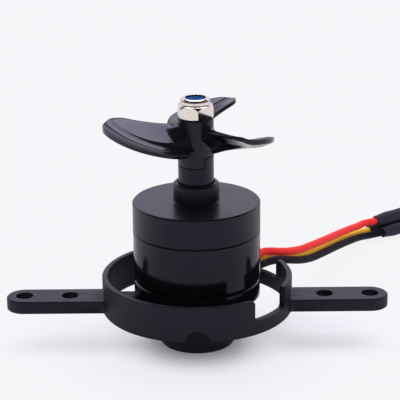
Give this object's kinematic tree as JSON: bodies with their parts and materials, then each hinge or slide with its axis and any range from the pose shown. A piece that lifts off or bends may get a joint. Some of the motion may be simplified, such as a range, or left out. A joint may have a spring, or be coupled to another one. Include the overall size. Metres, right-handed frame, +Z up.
{
  "type": "underwater thruster",
  "caption": "Underwater thruster: a brushless outrunner motor in a ring bracket with drilled side arms turns a raked propeller held by a lock nut; colour-coded leads end in bullet connectors.",
  "frame": {"origin": "centre of the foot's underside, on the shaft's axis", "axes": "+Z up along the shaft towards the propeller, X along the two arms, -Y towards the viewer of the picture"},
  "size_m": [0.1497, 0.1407, 0.0775],
  "materials": {
    "bracket": "satin black anodised",
    "motor_base": "satin black anodised",
    "stator_steel": "laminated",
    "insulator": "moulded",
    "winding": "enamelled copper",
    "bush": "moulded",
    "screw": "plain stainless",
    "grommet": "moulded",
    "red_lead": "silicone",
    "yellow_lead": "silicone",
    "black_lead": "silicone",
    "sleeve": "shrunk tube",
    "bullet": "gold plated",
    "bell_cap": "satin black anodised",
    "rotor_can": "gloss black coat",
    "magnet": "nickel plated",
    "shaft": "ground stainless",
    "washer": "bronze",
    "clip": "spring steel",
    "drive_dog": "satin black anodised",
    "propeller": "satin moulded",
    "lock_nut": "polished stainless",
    "nylon": "moulded"
  },
  "bodies": {
    "bracket": {"mount_bracket": "bracket", "motor_base": "motor_base", "stator_core": "stator_steel", "lower_insulator": "insulator", "upper_insulator": "insulator", "stator_windings": "winding", "lower_bush": "bush", "upper_bush": "bush", "base_screws": "screw", "lead_grommet": "grommet", "red_lead": "red_lead", "yellow_lead": "yellow_lead", "black_lead": "black_lead", "red_sleeve": "sleeve", "yellow_sleeve": "sleeve", "black_sleeve": "sleeve", "red_bullet": "bullet", "yellow_bullet": "bullet", "black_bullet": "bullet"},
    "rotor": {"bell_cap": "bell_cap", "rotor_can": "rotor_can", "rotor_magnets": "magnet", "shaft": "shaft", "lower_washer": "washer", "upper_washer": "washer", "retaining_clip": "clip", "drive_dog": "drive_dog", "propeller": "propeller", "lock_nut": "lock_nut", "nylon_insert": "nylon"}
  },
  "joints": [
    {"name": "rotor_spin", "type": "hinge", "parent": "bracket", "child": "rotor", "pos_m": [0, 0, 0.03], "axis": [0, 0, 1], "continuous": true}
  ]
}
